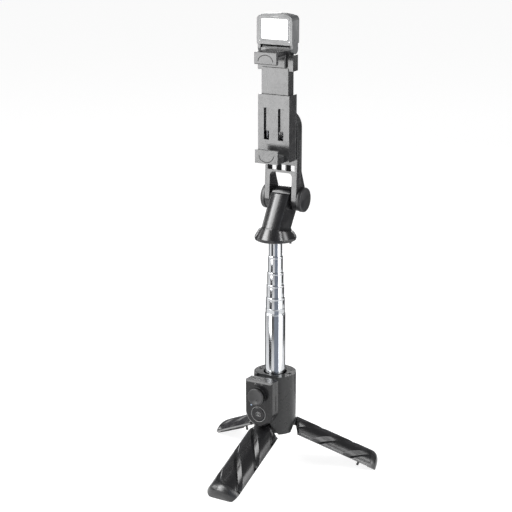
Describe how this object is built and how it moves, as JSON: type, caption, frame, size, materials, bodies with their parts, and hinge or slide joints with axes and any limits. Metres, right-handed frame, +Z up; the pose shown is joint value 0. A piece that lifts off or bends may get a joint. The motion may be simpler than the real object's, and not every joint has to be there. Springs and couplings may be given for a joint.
{
  "type": "selfie stick",
  "caption": "Telescopic selfie stick on fold-out tripod legs, with a tilting phone clamp, an LED lamp and a remote docked in its hub",
  "frame": {"origin": "on the floor plane under the mast axis", "axes": "+Z up along the mast, -Y the side that the phone and the remote face, +X to the right seen from the front"},
  "size_m": [0.1475, 0.1342, 0.356],
  "materials": {
    "hub_plastic": "satin",
    "leg_plastic": "semi-gloss",
    "foot_plastic": "semi-gloss",
    "remote_plastic": "satin",
    "joystick_rubber": "satin",
    "gloss_black": "gloss",
    "clamp_plastic": "semi-gloss",
    "lamp_plastic": "semi-gloss",
    "chrome_tube": "polished",
    "bright_steel": "brushed",
    "contact_metal": "polished",
    "black_nylon": "matte",
    "bush_plastic": "matte",
    "soft_rubber": "matte",
    "lit_diffuser": "satin",
    "board_green": "satin",
    "led_yellow": "gloss",
    "cell_wrap": "satin",
    "light_pipe": "gloss"
  },
  "bodies": {
    "base": {"hub_shell": "hub_plastic", "hub_top_plate": "hub_plastic", "dock_catch": "contact_metal", "mast_sleeve": "black_nylon", "leg_carrier": "black_nylon", "leg_pins": "bright_steel", "carrier_screws": "bright_steel"},
    "leg_a": {"leg_a": "leg_plastic", "foot_a": "foot_plastic"},
    "leg_b": {"leg_b": "leg_plastic", "foot_b": "foot_plastic"},
    "leg_c": {"leg_c": "leg_plastic", "foot_c": "foot_plastic"},
    "mast_1": {"mast_section_1": "chrome_tube", "mast_stop_ring": "black_nylon", "mast_collar": "chrome_tube"},
    "mast_2": {"mast_section_2": "chrome_tube", "section_bush_2": "bush_plastic"},
    "mast_3": {"mast_section_3": "chrome_tube", "section_bush_3": "bush_plastic"},
    "mast_4": {"mast_section_4": "chrome_tube", "section_bush_4": "bush_plastic"},
    "mast_5": {"mast_section_5": "chrome_tube", "section_bush_5": "bush_plastic"},
    "mast_6": {"mast_section_6": "chrome_tube", "section_bush_6": "bush_plastic", "swivel_socket": "bright_steel"},
    "neck": {"neck": "gloss_black", "neck_retainer": "black_nylon", "pivot_bolt": "bright_steel", "pivot_nut": "bright_steel", "friction_washers": "black_nylon"},
    "holder": {"fork": "clamp_plastic", "pivot_caps": "gloss_black"},
    "clamp": {"rotor_screw": "bright_steel", "clamp_housing": "clamp_plastic", "clamp_cover": "clamp_plastic", "lower_pad": "soft_rubber", "guide_rods": "bright_steel", "clamp_springs": "bright_steel"},
    "upper_clamp": {"slider": "clamp_plastic", "upper_jaw": "clamp_plastic", "upper_pad": "soft_rubber", "lamp_pin": "bright_steel"},
    "lamp": {"lamp_case": "lamp_plastic", "lamp_back": "lamp_plastic", "lamp_diffuser": "lit_diffuser", "led_board": "board_green", "led_chips": "led_yellow", "lamp_battery": "cell_wrap"},
    "lamp_button": {"lamp_button": "gloss_black"},
    "remote": {"remote_front": "remote_plastic", "remote_back": "remote_plastic", "remote_board": "board_green", "coin_cell": "bright_steel", "joystick_collar": "remote_plastic", "remote_light": "light_pipe"},
    "joystick_yoke": {"joystick_yoke": "bright_steel"},
    "joystick_cap": {"joystick_cap": "joystick_rubber"},
    "shutter_button": {"shutter_button": "remote_plastic"}
  },
  "joints": [
    {"name": "fold_leg_a", "type": "hinge", "parent": "base", "child": "leg_a", "pos_m": [-0.00054, -0.01039, 0.03659], "axis": [-0.9986, 0.0523, 0], "range_deg": [-65, 0]},
    {"name": "fold_leg_b", "type": "hinge", "parent": "base", "child": "leg_b", "pos_m": [0.00927, 0.00472, 0.03659], "axis": [0.454, -0.891, 0], "range_deg": [-65, 0]},
    {"name": "fold_leg_c", "type": "hinge", "parent": "base", "child": "leg_c", "pos_m": [-0.00872, 0.00566, 0.03659], "axis": [0.5446, 0.8387, 0], "range_deg": [-65, 0]},
    {"name": "slide_mast", "type": "slide", "parent": "base", "child": "mast_1", "axis": [0, 0, 1], "range_m": [-0.0556, 0]},
    {"name": "extend_2", "type": "slide", "parent": "mast_1", "child": "mast_2", "axis": [0, 0, 1], "range_m": [-0.0079, 0.069]},
    {"name": "extend_3", "type": "slide", "parent": "mast_2", "child": "mast_3", "axis": [0, 0, 1], "range_m": [-0.0091, 0.0755]},
    {"name": "extend_4", "type": "slide", "parent": "mast_3", "child": "mast_4", "axis": [0, 0, 1], "range_m": [-0.0089, 0.0755]},
    {"name": "extend_5", "type": "slide", "parent": "mast_4", "child": "mast_5", "axis": [0, 0, 1], "range_m": [-0.0118, 0.073]},
    {"name": "extend_6", "type": "slide", "parent": "mast_5", "child": "mast_6", "axis": [0, 0, 1], "range_m": [-0.0126, 0.064]},
    {"name": "turn_head", "type": "hinge", "parent": "mast_6", "child": "neck", "pos_m": [0, 0, 0.19], "axis": [0, 0, 1], "range_deg": [-180, 180]},
    {"name": "tilt_holder", "type": "hinge", "parent": "neck", "child": "holder", "pos_m": [0, 0.016, 0.214], "axis": [1, 0, 0], "range_deg": [-110, 90]},
    {"name": "turn_clamp", "type": "hinge", "parent": "holder", "child": "clamp", "pos_m": [0, 0.012, 0.27], "axis": [0, 1, 0], "range_deg": [-90, 90]},
    {"name": "open_clamp", "type": "slide", "parent": "clamp", "child": "upper_clamp", "axis": [0, 0, 1], "range_m": [-0.0165, 0.017], "deforming": ["clamp_springs"]},
    {"name": "tilt_lamp", "type": "hinge", "parent": "upper_clamp", "child": "lamp", "pos_m": [0, 0.0026, 0.3303], "axis": [1, 0, 0], "range_deg": [-80, 30]},
    {"name": "press_lamp_button", "type": "slide", "parent": "lamp", "child": "lamp_button", "axis": [0, -1, 0], "range_m": [0, 0.0004], "stiffness_N_per_m": 400},
    {"name": "slide_remote", "type": "slide", "parent": "base", "child": "remote", "axis": [0, 0, 1], "range_m": [0, 0.04]},
    {"name": "joystick_updown", "type": "hinge", "parent": "remote", "child": "joystick_yoke", "pos_m": [0, -0.0246, 0.0669], "axis": [1, 0, 0], "range_deg": [-10, 10], "stiffness_Nm_per_rad": 0.02},
    {"name": "joystick_sideways", "type": "hinge", "parent": "joystick_yoke", "child": "joystick_cap", "pos_m": [0, -0.0246, 0.0669], "axis": [0, 0, 1], "range_deg": [-10, 10], "stiffness_Nm_per_rad": 0.02},
    {"name": "press_shutter", "type": "slide", "parent": "remote", "child": "shutter_button", "axis": [0, 1, 0], "range_m": [0, 0.0005], "stiffness_N_per_m": 500}
  ]
}
